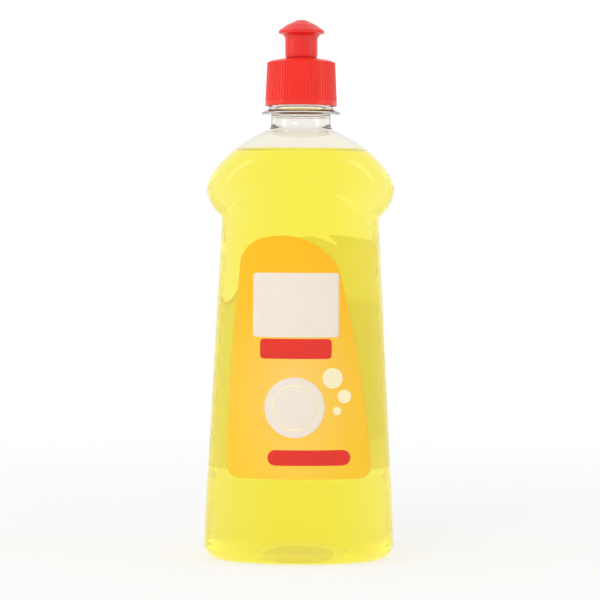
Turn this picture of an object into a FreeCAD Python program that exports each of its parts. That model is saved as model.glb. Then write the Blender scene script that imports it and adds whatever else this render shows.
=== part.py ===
"""Dish soap bottle: a clear blown bottle with its soap, two labels and a push-pull cap.

Millimetres. +Z is up, the origin is the centre of the standing face and the front label
faces -Y. The bottle is the same seen from the front and from the back.
"""
import FreeCAD
import Part
import Sketcher

import math
import os

Vector = FreeCAD.Vector
UP = Vector(0, 0, 1)
FULL_TURN = 360
HALF_TURN = 180

SIZES = {
    # blown body: widths along X, depths along Y, heights above the standing face
    "base_width": 80.1,
    "base_depth": 57.0,
    "heel_radius": 7.0,
    "band_height": 29.2,
    "band_width": 77.7,
    "band_depth": 56.6,
    "recess_rise": 5.4,
    "panel_foot_width": 76.9,
    "panel_foot_depth": 55.0,
    "panel_top_height": 163.0,
    "panel_top_width": 63.4,
    "panel_top_depth": 50.2,
    "bulge_root_height": 141.0,
    "bulge_root_width": 61.0,
    "bulge_root_depth": 25.0,
    "bulge_height": 154.5,
    "bulge_width": 78.4,
    "crown_height": 164.0,
    "crown_depth": 51.8,
    "shoulder_height": 179.9,
    "shoulder_power": 1.6,
    "join_lean": 44.0,
    "crease_radius": 1.5,
    "wall": 0.5,
    "pushup_width": 46.0,
    "pushup_depth": 30.0,
    "pushup_height": 7.5,
    # raised swoosh on each broad face
    "relief_rise": 0.7,
    "relief_height": 147.5,
    "relief_radius": 8.6,
    "relief_reach": 31.0,
    # neck finish
    "neck_diameter": 24.9,
    "neck_flare": 1.4,
    "ring_height": 185.8,
    "ring_diameter": 33.0,
    "ring_edge": 0.9,
    "ring_root": 2.0,
    "collar_diameter": 27.0,
    "collar_length": 3.4,
    "finish_height": 205.3,
    "bore_diameter": 21.74,
    # soap
    "fill_height": 171.0,
    "soap_clearance": 0.03,
    # labels
    "label_film": 0.12,
    "label_gap": 1.0,
    "label_foot_width": 59.4,
    "label_length": 99.2,
    "label_corner": 5.0,
    "label_left_lean": 4.9,
    "label_right_lean": 14.0,
    "label_shoulder": 85.6,
    # cap
    "cap_seat_gap": 0.1,
    "cap_roof": 2.0,
    "cap_skirt": 18.1,
    "cap_foot_diameter": 30.0,
    "cap_top_diameter": 28.4,
    "cap_foot_bore": 27.8,
    "cap_top_bore": 26.0,
    "cap_rim_band": 2.1,
    "cap_rim_round": 0.5,
    "flute_count": 68,
    "flute_diameter": 0.84,
    "flute_depth": 0.34,
    "cap_dome_rise": 1.9,
    "cap_bend_diameter": 25.2,
    "cap_bend_rise": 0.8,
    "cap_seat_diameter": 13.6,
    "plug_clearance": 0.08,
    "plug_depth": 2.6,
    "plug_wall": 1.1,
    "chimney_diameter": 10.4,
    "chimney_bore": 7.8,
    "chimney_height": 9.7,
    "bead_rise": 0.3,
    "bead_length": 1.2,
    "spoke_count": 3,
    "spoke_width": 1.1,
    "spoke_height": 1.5,
    "post_diameter": 3.0,
    "post_foot_diameter": 4.2,
    "post_end_gap": 0.1,
    # push-pull nozzle
    "nozzle_seat_gap": 0.3,
    "nozzle_clearance": 0.12,
    "nozzle_stem_diameter": 13.52,
    "nozzle_length": 15.5,
    "nozzle_rim_diameter": 18.92,
    "nozzle_rim_height": 11.2,
    "nozzle_rim_edge": 1.2,
    "nozzle_rim_fillet": 2.6,
    "nozzle_bend_diameter": 12.4,
    "nozzle_bend_drop": 2.0,
    "nozzle_tip_diameter": 4.0,
    "nozzle_roof": 1.1,
    "nozzle_lip": 1.3,
    "outlet_clearance": 0.12,
}

doc = FreeCAD.newDocument("dish_soap_bottle")
sheet = doc.addObject("Spreadsheet::Sheet", "sizes")
for row, (alias, number) in enumerate(SIZES.items(), start=1):
    sheet.set("A%d" % row, alias)
    sheet.set("B%d" % row, str(number))
    sheet.setAlias("B%d" % row, alias)
doc.recompute()


class Size:
    """A size as a number, and as the expression that ties it to the sheet."""

    def __init__(self, number, text):
        self.number = number
        self.text = text

    def __add__(self, other):
        other = as_size(other)
        return Size(self.number + other.number, "(%s + %s)" % (self.text, other.text))

    def __sub__(self, other):
        other = as_size(other)
        return Size(self.number - other.number, "(%s - %s)" % (self.text, other.text))

    def __mul__(self, factor):
        return Size(self.number * factor, "(%s * %s)" % (self.text, factor))


def as_size(value):
    if isinstance(value, Size):
        return value
    return Size(value, str(value))


def cell(alias):
    return Size(float(sheet.get(alias)), "sizes." + alias)


def size(alias):
    return float(sheet.get(alias))


def half(alias):
    return cell(alias) * 0.5


def origin_feature(body, role):
    return next(item for item in body.Origin.OriginFeatures if item.Role == role)


def closed_sketch(body, name, role, corners, height=None):
    """A sketch of straight runs through corners, each corner tied to the sheet."""
    sketch = body.newObject("Sketcher::SketchObject", name)
    sketch.AttachmentSupport = (origin_feature(body, role), [""])
    sketch.MapMode = "FlatFace"
    if height is not None:
        sketch.setExpression("AttachmentOffset.Base.z", height.text)
    corners = [(as_size(across), as_size(along)) for across, along in corners]
    count = len(corners)
    for index in range(count):
        here, there = corners[index], corners[(index + 1) % count]
        sketch.addGeometry(Part.LineSegment(
            Vector(here[0].number, here[1].number, 0),
            Vector(there[0].number, there[1].number, 0)), False)
    for index in range(count):
        sketch.addConstraint(
            Sketcher.Constraint("Coincident", index, 2, (index + 1) % count, 1))
    for index, (across, along) in enumerate(corners):
        tie_corner(sketch, index, "DistanceX", across, -2)
        tie_corner(sketch, index, "DistanceY", along, -1)
    return sketch


def tie_corner(sketch, index, direction, distance, axis):
    """Hold one coordinate of a line's start: on an axis where it is zero, else by its size."""
    if distance.number == 0:
        sketch.addConstraint(Sketcher.Constraint("PointOnObject", index, 1, axis))
        return
    held = sketch.addConstraint(
        Sketcher.Constraint(direction, -1, 1, index, 1, distance.number))
    sketch.setExpression("Constraints[%d]" % held, distance.text)


def revolve(body, name, sketch):
    turned = body.newObject("PartDesign::Revolution", name)
    turned.Profile = sketch
    turned.ReferenceAxis = (sketch, ["V_Axis"])
    turned.Angle = FULL_TURN
    doc.recompute()
    return turned


def rounded(body, name, base, radius, places):
    """Fillet of the round edges that lie at the given (radius, height) places."""
    names = []
    for index, edge in enumerate(base.Shape.Edges, start=1):
        if not isinstance(edge.Curve, Part.Circle):
            continue
        for place_radius, place_height in places:
            near_radius = abs(edge.Curve.Radius - place_radius) < 0.01
            near_height = abs(edge.Curve.Center.z - place_height) < 0.01
            if near_radius and near_height:
                names.append("Edge%d" % index)
    fillet = body.newObject("PartDesign::Fillet", name)
    fillet.Base = (base, names)
    fillet.setExpression("Radius", radius.text)
    doc.recompute()
    return fillet


def around(body, name, features, count):
    """The same features, spread evenly about the upright axis."""
    pattern = body.newObject("PartDesign::PolarPattern", name)
    pattern.Originals = features
    pattern.Axis = (origin_feature(body, "Z_Axis"), [""])
    pattern.Angle = FULL_TURN
    pattern.setExpression("Occurrences", count)
    body.Tip = pattern
    doc.recompute()
    return pattern


def feature(name, shape, turn=0):
    """A shape worked out from the sheet, turned about the upright axis."""
    holder = doc.addObject("Part::Feature", name)
    holder.Shape = shape
    holder.Placement = FreeCAD.Placement(Vector(0, 0, 0), FreeCAD.Rotation(UP, turn))
    return holder


# Blown body

def oval(height, half_width, half_depth):
    """Four tangent arcs: broad ones front and back, tight ones at the sides."""
    lean = math.radians(size("join_lean")) * half_depth / half_width
    spread = (half_width - half_depth) / (math.sin(lean) + math.cos(lean) - 1)
    side = half_depth - spread * (1 - math.cos(lean))
    broad = side + spread
    join = Vector(broad * math.sin(lean),
                  half_depth - broad * (1 - math.cos(lean)), height)
    corners = [Vector(x * join.x, y * join.y, height)
               for x, y in ((1, -1), (1, 1), (-1, 1), (-1, -1))]
    middles = [Vector(half_width, 0, height), Vector(0, half_depth, height),
               Vector(-half_width, 0, height), Vector(0, -half_depth, height)]
    arcs = [Part.Arc(corners[index], middles[index], corners[(index + 1) % 4]).toShape()
            for index in range(4)]
    return Part.Wire(arcs)


def lower_form(inset):
    """Standing band, recess step and tapering panel, drawn in by the inset."""
    foot = size("band_height") + size("recess_rise")
    levels = ((inset, "base_width", "base_depth"),
              (size("band_height"), "band_width", "band_depth"),
              (foot, "panel_foot_width", "panel_foot_depth"),
              (size("panel_top_height"), "panel_top_width", "panel_top_depth"))
    sections = [oval(height, size(width) / 2 - inset, size(depth) / 2 - inset)
                for height, width, depth in levels]
    form = Part.makeLoft(sections, True, True)
    heel = [edge for edge in form.Edges if edge.BoundBox.ZMax < inset + 0.01]
    return form.makeFillet(size("heel_radius") - inset, heel)


def underside(root, widest, root_height, widest_height, height):
    """Parabola that opens from the root of the bulge to its widest place."""
    share = (widest_height - height) / (widest_height - root_height)
    return widest - (widest - root) * share ** 2


def shoulder(widest, widest_height, height):
    """Flattened dome from the widest place in to the neck."""
    power = size("shoulder_power")
    neck = size("neck_diameter") / 2
    rise = size("shoulder_height") - widest_height
    full = rise / (1 - (neck / widest) ** power) ** (1 / power)
    return widest * (1 - ((height - widest_height) / full) ** power) ** (1 / power)


def bulge_half(root, widest, widest_height, height):
    if height < widest_height:
        return underside(size(root) / 2, size(widest) / 2, size("bulge_root_height"),
                         widest_height, height)
    return shoulder(size(widest) / 2, widest_height, height)


def bulge_form(inset):
    """The mushroom-shaped top: its width and its depth swell at heights of their own."""
    low, high = size("bulge_root_height"), size("shoulder_height")
    stops = (0, 0.1, 0.2, 0.29, 0.36, 0.45, 0.55, 0.66, 0.76, 0.85, 0.93, 1)
    sections = []
    for stop in stops:
        height = low + (high - low) * stop
        half_width = bulge_half("bulge_root_width", "bulge_width",
                                size("bulge_height"), height)
        half_depth = bulge_half("bulge_root_depth", "crown_depth",
                                size("crown_height"), height)
        drop = inset * (stop - 0.5) * 2
        sections.append(oval(height - drop, half_width - inset, half_depth - inset))
    return Part.makeLoft(sections, True, False)


def relief_wire(inset):
    """Outline of the swoosh: a disc with a tail that widens down towards the side."""
    centre = size("relief_height")
    radius = size("relief_radius")
    reach = size("relief_reach")

    def place(across, up):
        return Vector(across, 0, centre + up)

    left = place(-radius, 0)
    crown = place(0, radius * 0.94)
    shoulder_end = place(reach * 0.85, -radius * 0.5)
    tail_end = place(reach, -radius * 3.9)
    chin = place(-radius * 0.44, -radius * 0.97)
    arcs = [Part.Arc(left, place(-radius * 0.72, radius * 0.67), crown),
            Part.Arc(crown, place(reach * 0.5, radius * 0.44), shoulder_end),
            Part.Arc(shoulder_end, place(reach * 1.03, -radius * 2.1), tail_end),
            Part.Arc(tail_end, place(reach * 0.41, -radius * 1.72), chin),
            Part.Arc(chin, place(-radius * 0.84, -radius * 0.62), left)]
    wire = Part.Wire([arc.toShape() for arc in arcs])
    if inset > 0:
        wire = wire.makeOffset2D(-inset)
    return wire


def front_prism(wire):
    """The outline carried forward from the bottle's middle plane past its front."""
    return Part.Face(wire).extrude(Vector(0, -size("base_depth"), 0))


def turned_half(shape):
    """The same shape on the back: the bottle repeats after half a turn."""
    back = shape.copy()
    back.rotate(Vector(0, 0, 0), UP, HALF_TURN)
    return back


def eased_crease(lower, bulge, inset):
    """Panel and bulge joined, with a fillet along the arch where they meet."""
    form = lower.fuse(bulge)
    low, high = size("bulge_root_height"), size("panel_top_height")
    crease = [edge for edge in form.Edges
              if edge.BoundBox.ZMin > low and edge.BoundBox.ZMax < high]
    return form.makeFillet(size("crease_radius") + inset, crease)


def blown_form(inset):
    """The whole body without its neck, drawn in by the inset from the outer skin."""
    form = eased_crease(lower_form(inset), bulge_form(inset), inset)
    raised = lower_form(inset - size("relief_rise")).common(front_prism(relief_wire(inset)))
    form = form.fuse([raised, turned_half(raised)])
    dome = pushup(inset)
    return form.cut(dome).removeSplitter()


def pushup(inset):
    """Shallow oval dome pressed up into the base."""
    dome = Part.makeSphere(1, Vector(0, 0, 0), UP)
    stretch = FreeCAD.Matrix()
    stretch.scale(size("pushup_width") / 2 + inset, size("pushup_depth") / 2 + inset,
                  size("pushup_height") + inset)
    return dome.transformGeometry(stretch)


# Neck finish, turned about the upright axis

neck_body = doc.addObject("PartDesign::Body", "neck_finish")
neck_foot = cell("shoulder_height") - cell("neck_flare") * 2
flare_foot = cell("shoulder_height") - cell("neck_flare") * 0.7
ring_top = cell("ring_height") + cell("ring_root")
neck_sketch = closed_sketch(neck_body, "neck_profile", "XZ_Plane", [
    (0, neck_foot),
    (half("neck_diameter"), neck_foot),
    (half("neck_diameter") + cell("neck_flare"), flare_foot),
    (half("neck_diameter"), cell("shoulder_height") + cell("neck_flare")),
    (half("neck_diameter"), cell("ring_height")),
    (half("ring_diameter"), cell("ring_height")),
    (half("ring_diameter"), cell("ring_height") + cell("ring_edge")),
    (half("collar_diameter"), ring_top),
    (half("collar_diameter"), ring_top + cell("collar_length")),
    (half("neck_diameter"), ring_top + cell("collar_length") + 0.6),
    (half("neck_diameter"), cell("finish_height")),
    (0, cell("finish_height")),
])
revolve(neck_body, "neck_turned", neck_sketch)

outer = blown_form(0)
cavity = blown_form(size("wall"))
outer_skin = feature("outer_skin", outer)
inner_skin = feature("inner_skin", cavity)
mouth_bore = doc.addObject("Part::Cylinder", "mouth_bore")
mouth_bore.setExpression("Radius", half("bore_diameter").text)
mouth_bore.setExpression("Height", (cell("finish_height") - neck_foot + 1).text)
mouth_bore.setExpression("Placement.Base.z", neck_foot.text)

outside = doc.addObject("Part::MultiFuse", "outside")
outside.Shapes = [outer_skin, neck_body]
hollow = doc.addObject("Part::MultiFuse", "hollow")
hollow.Shapes = [inner_skin, mouth_bore]
bottle = doc.addObject("Part::Cut", "bottle")
bottle.Base = outside
bottle.Tool = hollow

# Soap: what the cavity holds below the fill level

level = doc.addObject("Part::Box", "below_level")
level.setExpression("Length", (cell("base_width") * 2).text)
level.setExpression("Width", (cell("base_width") * 2).text)
level.setExpression("Height", cell("fill_height").text)
level.setExpression("Placement.Base.x", (cell("base_width") * -1).text)
level.setExpression("Placement.Base.y", (cell("base_width") * -1).text)
soap_form = feature("soap_form", blown_form(size("wall") + size("soap_clearance")))
dish_soap = doc.addObject("Part::Common", "dish_soap")
dish_soap.Base = soap_form
dish_soap.Tool = level


# Labels: a film cut to one outline, laid on the recessed panel

def label_wire():
    """Outline of the label, seen from the front: it leans in to the right at the top."""
    foot = size("band_height") + size("recess_rise") + size("label_gap")
    side = size("label_foot_width") / 2
    corner = size("label_corner")
    top = foot + size("label_length")
    shoulder_height = foot + size("label_shoulder")
    left_top = -side + size("label_left_lean")
    right_top = side - size("label_right_lean")
    quarter = corner * (1 - math.sqrt(0.5))

    def place(across, height):
        return Vector(across, 0, height)

    left_foot = place(-side, foot + corner)
    right_foot = place(side, foot + corner)
    left_shoulder = place(left_top, shoulder_height)
    crown = place(left_top + side * 0.42, top)
    right_shoulder = place(right_top, shoulder_height + (top - shoulder_height) * 0.1)
    edges = [Part.LineSegment(place(-side + corner, foot), place(side - corner, foot)),
             Part.Arc(place(side - corner, foot), place(side - quarter, foot + quarter),
                      right_foot),
             Part.Arc(right_foot,
                      place(side - size("label_right_lean") * 0.44,
                            foot + size("label_shoulder") * 0.6),
                      right_shoulder),
             Part.Arc(right_shoulder,
                      place(side * 0.16, top - (top - shoulder_height) * 0.17), crown),
             Part.Arc(crown, place(left_top + side * 0.115, top - side * 0.13),
                      left_shoulder),
             Part.Arc(left_shoulder,
                      place(-side + size("label_left_lean") * 0.32,
                            foot + size("label_shoulder") * 0.55),
                      left_foot),
             Part.Arc(left_foot, place(-side + quarter, foot + quarter),
                      place(-side + corner, foot))]
    return Part.Wire([edge.toShape() for edge in edges])


label_prism = front_prism(label_wire())
proud_panel = lower_form(-size("label_film"))
label_film = proud_panel.common(label_prism).cut(outer)
front_label = feature("front_label", label_film)
back_label = feature("back_label", label_film, HALF_TURN)

# Cap: skirt with fine flutes, low dome, sealing plug, chimney and its centre post

cap = doc.addObject("PartDesign::Body", "cap")
roof_under = cell("finish_height") + cell("cap_seat_gap")
skirt_top = roof_under + cell("cap_roof")
cap_foot = skirt_top - cell("cap_skirt")
dome_top = skirt_top + cell("cap_dome_rise")
dome_under = dome_top - cell("cap_roof")
plug_outer = half("bore_diameter") - cell("plug_clearance")
plug_inner = plug_outer - cell("plug_wall")
plug_foot = cell("finish_height") - cell("plug_depth")
chimney_top = dome_top + cell("chimney_height")
bead_outer = half("chimney_diameter") + cell("bead_rise")
cap_sketch = closed_sketch(cap, "cap_profile", "XZ_Plane", [
    (half("cap_foot_bore"), cap_foot),
    (half("cap_foot_diameter"), cap_foot),
    (half("cap_top_diameter"), skirt_top),
    (half("cap_bend_diameter"), skirt_top + cell("cap_bend_rise")),
    (half("cap_seat_diameter"), dome_top),
    (half("chimney_diameter"), dome_top),
    (half("chimney_diameter"), chimney_top - cell("bead_length") * 1.5),
    (bead_outer, chimney_top - cell("bead_length")),
    (bead_outer, chimney_top - cell("bead_length") * 0.5),
    (half("chimney_diameter") - cell("bead_rise"), chimney_top),
    (half("chimney_bore"), chimney_top),
    (half("chimney_bore"), dome_under),
    (plug_inner, roof_under + cell("cap_roof") * 0.4),
    (plug_inner, plug_foot),
    (plug_outer, plug_foot),
    (plug_outer, roof_under),
    (half("cap_top_bore"), roof_under),
])
cap_turned = revolve(cap, "cap_turned", cap_sketch)
rounded(cap, "cap_rim", cap_turned, cell("cap_rim_round"),
        [(half("cap_foot_diameter").number, cap_foot.number)])

skirt_lean = math.degrees(math.atan2(size("cap_foot_diameter") - size("cap_top_diameter"),
                                     2 * size("cap_skirt")))
flute = cap.newObject("PartDesign::SubtractiveCylinder", "flute")
flute.setExpression("Radius", half("flute_diameter").text)
flute.setExpression("Height", cell("cap_skirt").text)
flute.Angle = FULL_TURN
flute.AttachmentSupport = (origin_feature(cap, "XY_Plane"), [""])
flute.MapMode = "FlatFace"
rim_share = size("cap_rim_band") / size("cap_skirt")
flute_foot_radius = (half("cap_foot_diameter") * (1 - rim_share)
                     + half("cap_top_diameter") * rim_share
                     + half("flute_diameter") - cell("flute_depth"))
flute.AttachmentOffset = FreeCAD.Placement(
    Vector(flute_foot_radius.number, 0, (cap_foot + cell("cap_rim_band")).number),
    FreeCAD.Rotation(Vector(0, 1, 0), -skirt_lean))
doc.recompute()
around(cap, "flutes", [flute], "sizes.flute_count")

spoke_sketch = closed_sketch(cap, "spoke_plan", "XY_Plane", [
    (0, half("spoke_width") * -1),
    (half("chimney_bore") + cell("bead_rise"), half("spoke_width") * -1),
    (half("chimney_bore") + cell("bead_rise"), half("spoke_width")),
    (0, half("spoke_width")),
], height=dome_under)
spoke = cap.newObject("PartDesign::Pad", "spoke")
spoke.Profile = spoke_sketch
spoke.setExpression("Length", cell("spoke_height").text)
doc.recompute()
around(cap, "spokes", [spoke], "sizes.spoke_count")

nozzle_foot = dome_top + cell("nozzle_seat_gap")
nozzle_tip = nozzle_foot + cell("nozzle_length")
post_top = nozzle_tip - cell("post_end_gap")
post_sketch = closed_sketch(cap, "post_profile", "XZ_Plane", [
    (0, dome_under),
    (half("post_foot_diameter"), dome_under),
    (half("post_foot_diameter"), chimney_top),
    (half("post_diameter"), chimney_top + cell("post_foot_diameter") * 0.25),
    (half("post_diameter"), post_top - cell("post_diameter") * 0.1),
    (half("post_diameter") * 0.8, post_top),
    (0, post_top),
])
revolve(cap, "post", post_sketch)

# Push-pull nozzle: a stem that slides on the chimney, under a mushroom top

pull_nozzle = doc.addObject("PartDesign::Body", "pull_nozzle")
bore_radius = bead_outer + cell("nozzle_clearance")
lip_radius = half("chimney_diameter") + cell("nozzle_clearance")
outlet_radius = half("post_diameter") + cell("outlet_clearance")
rim_top = nozzle_foot + cell("nozzle_rim_height")
rim_under = rim_top - cell("nozzle_rim_edge")
nozzle_sketch = closed_sketch(pull_nozzle, "nozzle_profile", "XZ_Plane", [
    (lip_radius, nozzle_foot),
    (half("nozzle_stem_diameter") - cell("nozzle_clearance") * 2, nozzle_foot),
    (half("nozzle_stem_diameter"), nozzle_foot + cell("nozzle_lip")),
    (half("nozzle_stem_diameter"), rim_under),
    (half("nozzle_rim_diameter"), rim_under),
    (half("nozzle_rim_diameter"), rim_top),
    (half("nozzle_bend_diameter"), nozzle_tip - cell("nozzle_bend_drop")),
    (half("nozzle_tip_diameter"), nozzle_tip),
    (outlet_radius, nozzle_tip),
    (outlet_radius, nozzle_tip - cell("nozzle_roof") * 2),
    (bore_radius, rim_top),
    (bore_radius, nozzle_foot + cell("nozzle_lip") + cell("bead_rise")),
    (lip_radius, nozzle_foot + cell("nozzle_lip")),
])
nozzle_turned = revolve(pull_nozzle, "nozzle_turned", nozzle_sketch)
rounded(pull_nozzle, "nozzle_under", nozzle_turned, cell("nozzle_rim_fillet"),
        [(half("nozzle_stem_diameter").number, rim_under.number)])

doc.recompute()

# Write each sub-part

sub_parts = {"bottle": bottle, "dish_soap": dish_soap, "front_label": front_label,
             "back_label": back_label, "cap": cap, "pull_nozzle": pull_nozzle}
for item in doc.Objects:
    if "Invalid" in item.State or "Error" in item.State:
        raise RuntimeError("%s failed: %s" % (item.Name, item.State))
for node, item in sub_parts.items():
    item.Label = node
    if item.Shape.isNull() or not item.Shape.isValid():
        raise RuntimeError("%s has no valid shape" % node)
    if len(item.Shape.Solids) != 1:
        raise RuntimeError("%s has %d solids" % (node, len(item.Shape.Solids)))

os.makedirs("parts", exist_ok=True)
for node, item in sub_parts.items():
    item.Shape.exportStep("parts/%s.step" % node)
    box = item.Shape.optimalBoundingBox()
    print("%-12s volume %9.1f  x %.2f..%.2f  y %.2f..%.2f  z %.2f..%.2f" % (
        node, item.Shape.Volume, box.XMin, box.XMax, box.YMin, box.YMax, box.ZMin, box.ZMax))
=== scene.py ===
"""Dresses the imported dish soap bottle: clear shell, yellow soap, printed labels, red cap.

Metres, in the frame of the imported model: +Z up, the front label faces -Y. The file is laid
out as an add-on whose operators each make one piece or group of pieces, and is run as a
script.
"""

import math

import bmesh
import bpy
from bpy.props import FloatProperty, FloatVectorProperty, PointerProperty
from mathutils import Matrix, Vector


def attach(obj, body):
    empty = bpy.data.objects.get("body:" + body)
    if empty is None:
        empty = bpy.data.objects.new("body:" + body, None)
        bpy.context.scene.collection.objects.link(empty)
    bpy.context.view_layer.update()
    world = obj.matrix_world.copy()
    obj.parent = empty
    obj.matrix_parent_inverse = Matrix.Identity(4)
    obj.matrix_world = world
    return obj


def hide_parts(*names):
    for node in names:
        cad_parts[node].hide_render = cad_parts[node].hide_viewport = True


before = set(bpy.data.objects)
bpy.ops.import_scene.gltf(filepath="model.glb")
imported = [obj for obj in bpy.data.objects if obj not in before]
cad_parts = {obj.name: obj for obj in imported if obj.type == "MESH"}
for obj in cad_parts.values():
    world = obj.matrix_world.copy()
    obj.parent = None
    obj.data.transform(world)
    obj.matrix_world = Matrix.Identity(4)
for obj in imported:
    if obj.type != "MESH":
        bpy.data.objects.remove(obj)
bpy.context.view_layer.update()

bl_info = {
    "name": "Dish soap bottle",
    "version": (1, 0, 0),
    "blender": (4, 5, 0),
    "location": "View3D > Sidebar > Soap bottle",
    "description": "Makes the shell, soap, labels, closure and stage of a dish soap bottle",
    "category": "Object",
}

MM = 0.001
TURN = 2 * math.pi

# How far in from the wall the meniscus goes, in millimetres, and the share of its climb
# that is lost there
MENISCUS = ((0.25, 0.0), (0.5, 0.45), (1.0, 0.75), (2.0, 0.95), (3.5, 1.0))

# Halftone on the label: pitch of the dots, and the middle and reach of the patch they fill
DOT_PITCH = 1.3 * MM
GLOW_MIDDLE = (-2 * MM, 0, 72 * MM)
GLOW_SCALE = (1 / (31 * MM), 0, 1 / (50 * MM))

# Bubbles beside the dish: name, place across, height and radius in millimetres
BUBBLES = (("bubble_large", 13.5, 77.0, 4.2), ("bubble_middle", 18.4, 69.5, 2.8),
           ("bubble_small", 15.4, 63.6, 1.7))

# Lamps: name, place, width, height, watts, and whether gloss mirrors them
LAMPS = (("key_lamp", (-0.55, -1.15, 0.95), 0.5, 0.5, 4.5, False),
         ("left_lamp", (-1.1, -0.35, 0.7), 0.3, 0.9, 2.0, True),
         ("right_lamp", (1.1, -0.35, 0.7), 0.3, 0.9, 2.0, True))
LAMP_AIM = Vector((0, 0, 0.11))

# The camera, at the photograph's distance and height
EYE = Vector((0, -1.026, 0.1364))
EYE_AIM = Vector((0, 0, 0.1083))
EYE_ROLL = math.radians(0.31)
LENS = 147


def length(name, description, millimetres):
    """A length that a user can change, given in millimetres and kept in metres."""
    return FloatProperty(name=name, description=description, default=millimetres * MM,
                         unit="LENGTH", precision=5)


def share(name, description, default):
    """A plain number that a user can change."""
    return FloatProperty(name=name, description=description, default=default)


def colour(name, description, red, green, blue):
    """A colour that a user can change, given as 0 to 255 in sRGB."""
    return FloatVectorProperty(name=name, description=description, size=3, subtype="COLOR",
                               min=0, max=1, default=linear(red, green, blue))


def linear(red, green, blue):
    """A colour of 0 to 255 in sRGB as the linear values that shaders take."""
    def channel(value):
        value = value / 255
        return value / 12.92 if value <= 0.04045 else ((value + 0.055) / 1.055) ** 2.4
    return (channel(red), channel(green), channel(blue))


class BodySizes(bpy.types.PropertyGroup):
    """Sizes of the blown body, the same ones that the solids were made from."""
    base_width: length("Base width", "Width just above the heel", 80.1)
    base_depth: length("Base depth", "Depth just above the heel", 57.0)
    heel_radius: length("Heel radius", "Rounding between side and base", 7.0)
    band_height: length("Band height", "Top of the band under the label panel", 29.2)
    band_width: length("Band width", "Width at the top of the band", 77.7)
    band_depth: length("Band depth", "Depth at the top of the band", 56.6)
    recess_rise: length("Recess rise", "Height of the step in to the panel", 5.4)
    panel_foot_width: length("Panel foot width", "Width at the foot of the panel", 76.9)
    panel_foot_depth: length("Panel foot depth", "Depth at the foot of the panel", 55.0)
    panel_top_height: length("Panel top", "Height where the panel ends in the bulge", 163.0)
    panel_top_width: length("Panel top width", "Width at the panel's top", 63.4)
    panel_top_depth: length("Panel top depth", "Depth at the panel's top", 50.2)
    bulge_root_height: length("Bulge root", "Lowest height of the bulge", 141.0)
    bulge_root_width: length("Bulge root width", "Width at the root of the bulge", 61.0)
    bulge_root_depth: length("Bulge root depth", "Depth at the root of the bulge", 25.0)
    bulge_height: length("Bulge height", "Height of the widest place", 154.5)
    bulge_width: length("Bulge width", "Width at the widest place", 78.4)
    crown_height: length("Crown height", "Height of the deepest place", 164.0)
    crown_depth: length("Crown depth", "Depth at the deepest place", 51.8)
    shoulder_height: length("Shoulder height", "Where the shoulder meets the neck", 179.9)
    shoulder_power: share("Shoulder power", "Flatness of the dome of the shoulder", 1.6)
    join_lean: share("Join lean", "Where broad and tight arcs meet, in degrees", 44.0)
    crease_width: length("Crease width", "Width of the easing under the bulge", 1.6)
    wall: length("Wall", "Thickness of the blown wall", 0.5)
    pushup_width: length("Push-up width", "Width of the dome in the base", 46.0)
    pushup_depth: length("Push-up depth", "Depth of the dome in the base", 30.0)
    pushup_height: length("Push-up height", "Height of the dome in the base", 7.5)
    relief_rise: length("Relief rise", "How far the swoosh stands proud", 0.7)
    relief_height: length("Relief height", "Centre of the disc of the swoosh", 147.5)
    relief_radius: length("Relief radius", "Radius of the disc of the swoosh", 8.6)
    relief_reach: length("Relief reach", "How far the tail runs to the side", 31.0)
    relief_slope: length("Relief slope", "Width of the step round the swoosh", 1.6)
    neck_diameter: length("Neck diameter", "Outside of the neck", 24.9)
    ring_height: length("Ring height", "Underside of the support ring", 185.8)
    ring_diameter: length("Ring diameter", "Outside of the support ring", 33.0)
    ring_edge: length("Ring edge", "Thickness of the ring at its edge", 0.9)
    ring_root: length("Ring root", "Thickness of the ring at the neck", 2.0)
    collar_diameter: length("Collar diameter", "Collar over the ring", 27.0)
    collar_length: length("Collar length", "Height of that collar", 3.4)
    finish_height: length("Finish height", "Top of the neck", 205.3)
    bore_diameter: length("Bore", "Inside of the neck", 21.74)
    fill_height: length("Fill height", "Level of the soap", 171.0)
    meniscus: length("Meniscus", "How far the soap climbs the wall", 0.3)


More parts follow.
